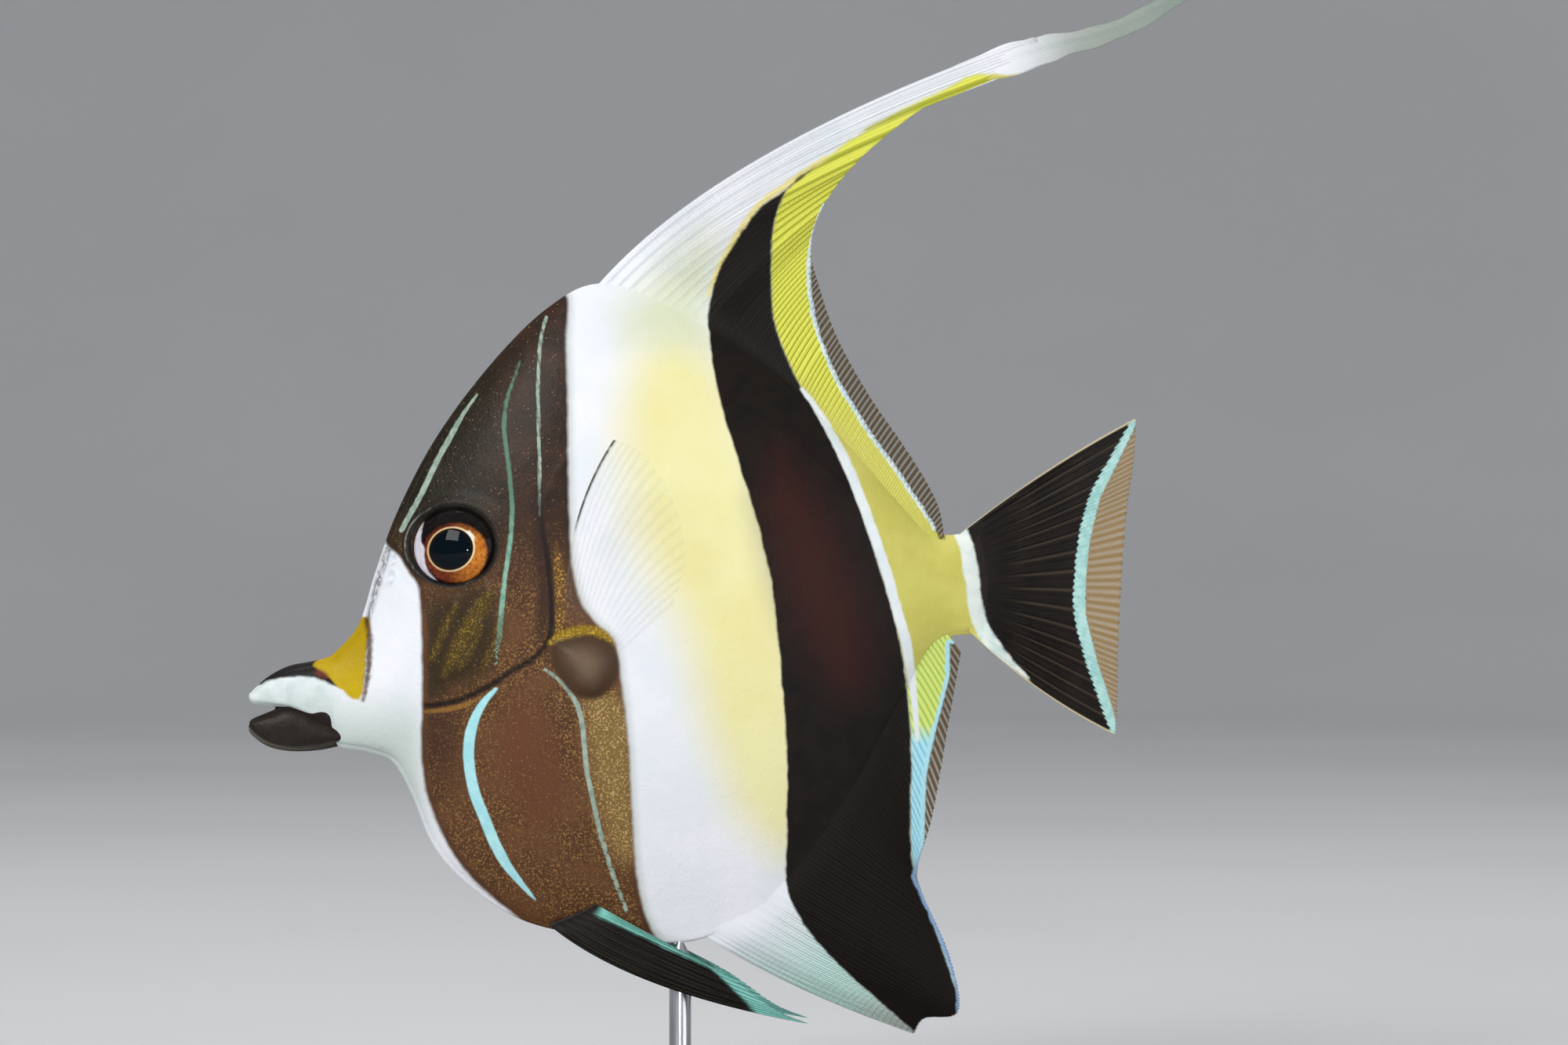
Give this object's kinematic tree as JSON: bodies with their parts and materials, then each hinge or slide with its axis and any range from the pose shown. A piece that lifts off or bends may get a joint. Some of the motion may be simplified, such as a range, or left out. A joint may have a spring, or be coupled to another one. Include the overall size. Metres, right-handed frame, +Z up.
{
  "type": "moorish idol fish, still model on a display stand",
  "caption": "Life-size still model of a moorish idol: a disc-shaped banded reef fish with a tubular snout and a long trailing dorsal filament, held over a flat oval base by a slim rod.",
  "frame": {"origin": "centre of the stand base's underside, on the fish's middle plane", "axes": "+Z up, the fish faces -X, +Y points to the fish's right side"},
  "size_m": [0.2636, 0.072, 0.2532],
  "materials": {
    "head_skin": "moist scaled skin, dark brown with gold flecks",
    "body_skin": "moist scaled skin, white to pale yellow with a black band",
    "stalk_skin": "moist scaled skin, olive yellow",
    "upper_jaw": "smooth moist skin, white with a black top and a yellow saddle",
    "lower_jaw": "smooth moist skin, blackish brown",
    "eye": "wet clear eye, orange-brown iris and dark pupil",
    "dorsal_fin": "thin ribbed fin, white, black and yellow",
    "filament": "thin soft band, white",
    "anal_fin": "thin ribbed fin, white, black, yellow and blue",
    "tail_fin": "thin ribbed fin, black with a pale blue rear band",
    "pelvic_fin": "thin ribbed fin, black with a turquoise edge",
    "pectoral_fin": "thin clear ribbed fin",
    "stand_wood": "oiled dark walnut, satin",
    "stand_steel": "satin steel"
  },
  "bodies": {
    "root": {"head": "head_skin", "torso": "body_skin", "tail_stalk": "stalk_skin", "upper_jaw": "upper_jaw", "lower_jaw": "lower_jaw", "eye_left": "eye", "eye_right": "eye", "dorsal_fin": "dorsal_fin", "dorsal_fin_rear": "dorsal_fin", "dorsal_filament": "filament", "anal_fin": "anal_fin", "tail_fin": "tail_fin", "pelvic_fin_left": "pelvic_fin", "pelvic_fin_right": "pelvic_fin", "pectoral_fin_left": "pectoral_fin", "pectoral_fin_right": "pectoral_fin", "stand_base": "stand_wood", "stand_rod": "stand_steel"}
  },
  "joints": []
}
